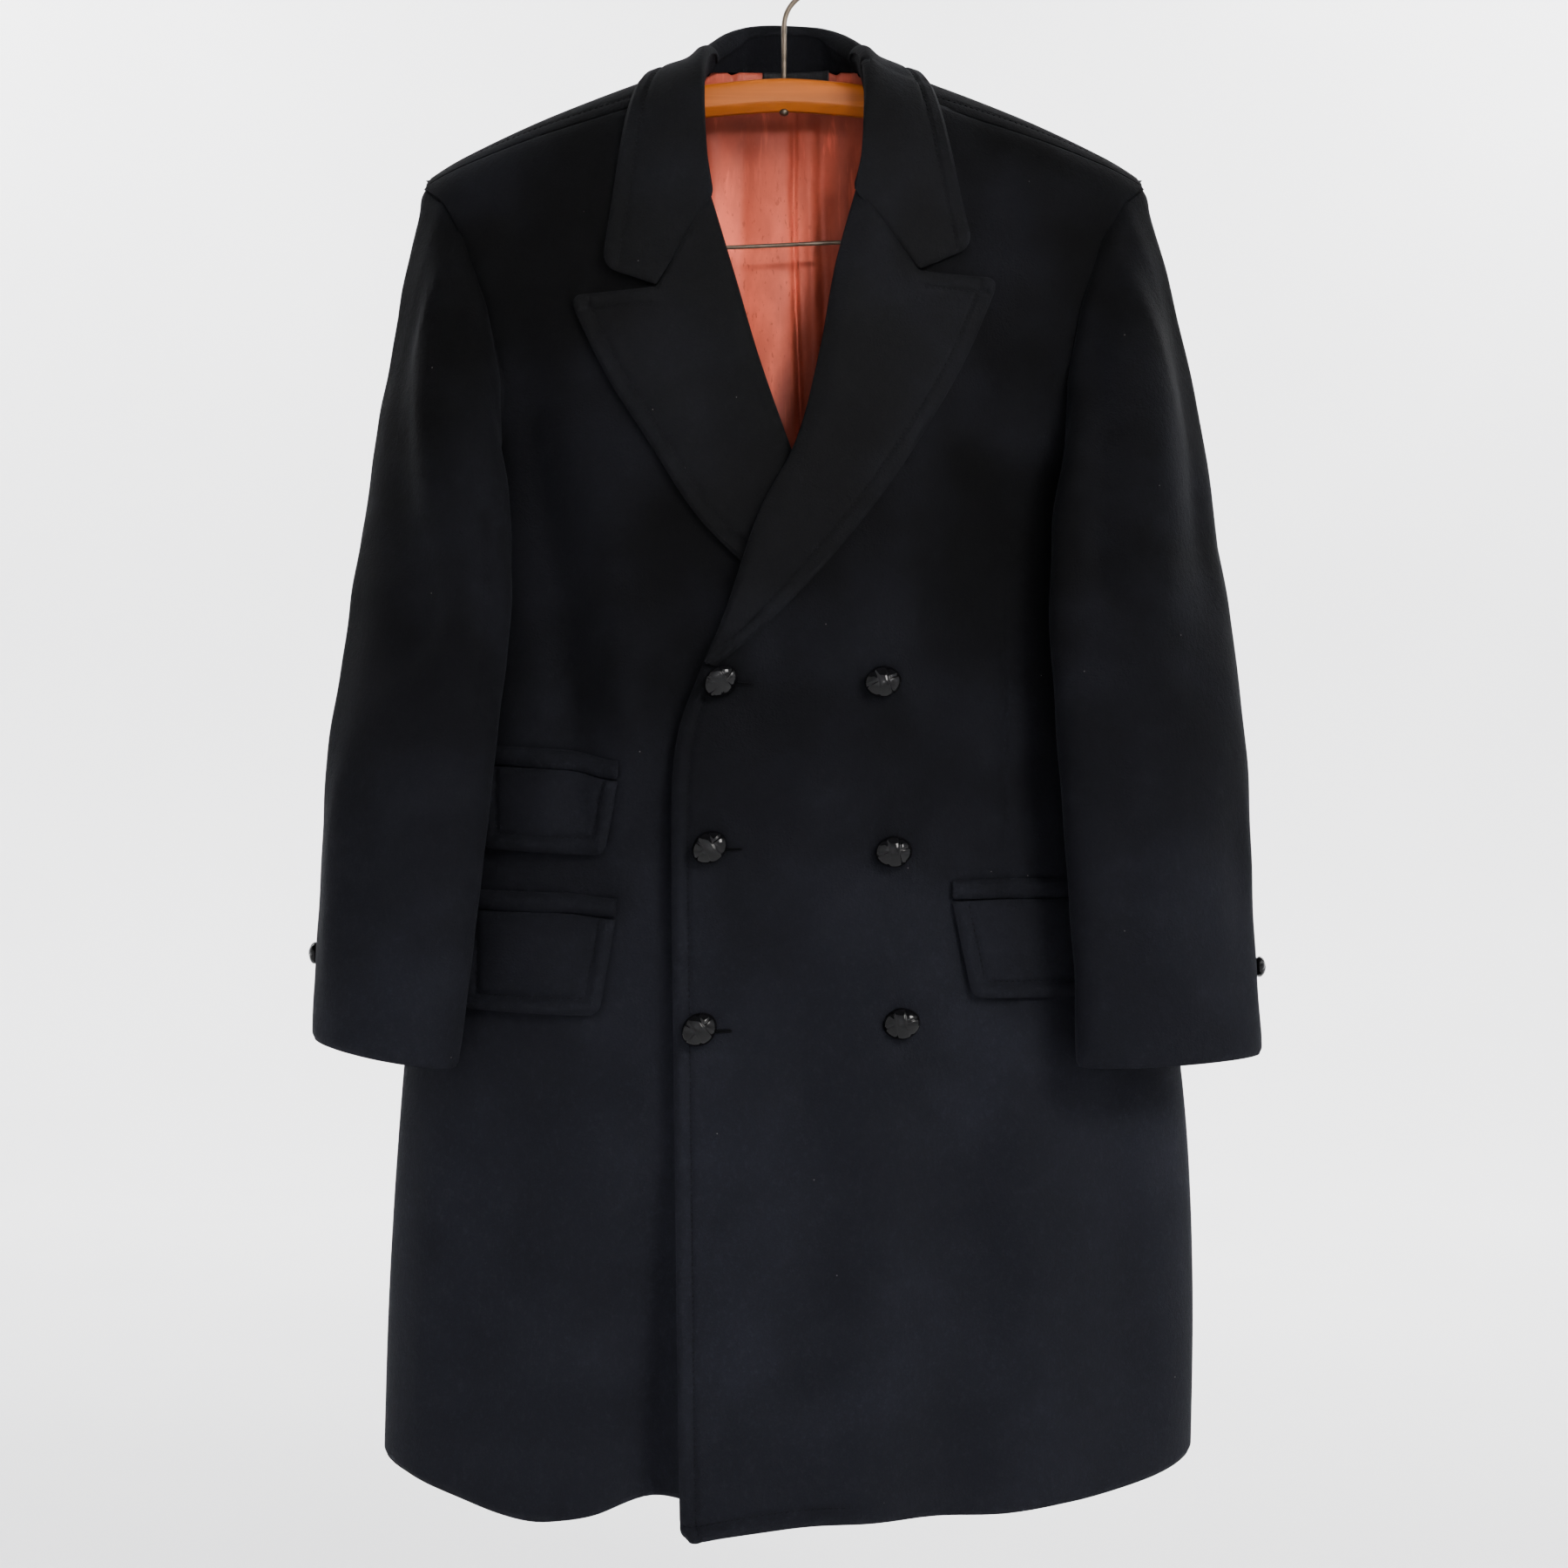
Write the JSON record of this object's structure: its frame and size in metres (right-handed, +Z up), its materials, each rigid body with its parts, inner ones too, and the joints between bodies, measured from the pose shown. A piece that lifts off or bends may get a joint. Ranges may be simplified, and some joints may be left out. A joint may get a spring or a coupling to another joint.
{
  "type": "double-breasted coat on a wooden hanger",
  "caption": "Knee-length double-breasted overcoat with peaked lapels, flap pockets and domed buttons, hanging open and hollow on a wooden hanger with a wire hook.",
  "frame": {"origin": "the top of the inside of the hanger's hook, where it rests on its rail", "axes": "+Z up along the hook's stem, +X to the wearer's left, -Y out of the coat's front"},
  "size_m": [0.6347, 0.1837, 1.0675],
  "materials": {
    "overcoat_cloth": "napped wool, matt",
    "lining_satin": "satin",
    "label_cloth": "woven, matt",
    "button_gloss": "gloss",
    "hanger_wood": "satin varnish",
    "hanger_wire": "drawn wire"
  },
  "bodies": {
    "root": {"back": "overcoat_cloth", "front_right": "overcoat_cloth", "front_left": "overcoat_cloth", "sleeve_right_top": "overcoat_cloth", "sleeve_right_under": "overcoat_cloth", "sleeve_left_top": "overcoat_cloth", "sleeve_left_under": "overcoat_cloth", "lapel_right": "overcoat_cloth", "lapel_left": "overcoat_cloth", "collar_fall": "overcoat_cloth", "collar_stand": "overcoat_cloth", "pocket_welt_ticket": "overcoat_cloth", "pocket_flap_ticket": "overcoat_cloth", "pocket_welt_right": "overcoat_cloth", "pocket_flap_right": "overcoat_cloth", "pocket_welt_left": "overcoat_cloth", "pocket_flap_left": "overcoat_cloth", "back_lining": "lining_satin", "neck_label": "label_cloth", "button_edge_top": "button_gloss", "button_edge_middle": "button_gloss", "button_edge_bottom": "button_gloss", "button_show_top": "button_gloss", "button_show_middle": "button_gloss", "button_show_bottom": "button_gloss", "cuff_button_right": "button_gloss", "cuff_button_left": "button_gloss", "hanger_bar": "hanger_wood", "hanger_hook": "hanger_wire", "hook_nut": "hanger_wire", "trouser_wire": "hanger_wire"}
  },
  "joints": []
}
